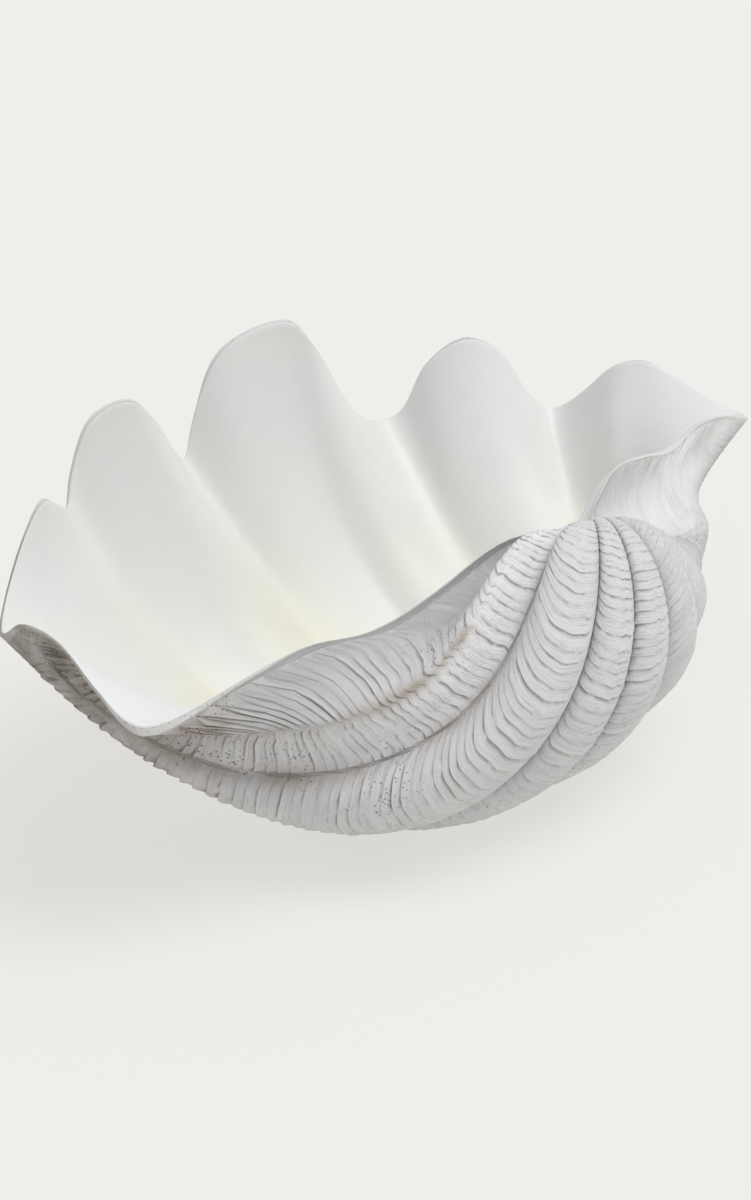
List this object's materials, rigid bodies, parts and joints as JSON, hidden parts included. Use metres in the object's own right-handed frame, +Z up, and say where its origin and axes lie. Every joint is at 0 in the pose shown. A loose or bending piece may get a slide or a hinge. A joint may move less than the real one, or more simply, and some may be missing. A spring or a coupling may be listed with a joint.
{
  "type": "giant clam shell",
  "caption": "Single valve of a giant clam lying on its back as an open bowl, with fan ribs, a deeply scalloped lip and a curled beak.",
  "frame": {"origin": "on the ground under the middle of the shell's bounding box", "axes": "+X along the hinge towards the short ear, +Y towards the scalloped lobes, +Z up out of the bowl"},
  "size_m": [0.6553, 0.4284, 0.2768],
  "materials": {
    "shell": "matte chalky white outside with grey growth lines, satin cream white inside"
  },
  "bodies": {
    "root": {"shell": "shell"}
  },
  "joints": []
}
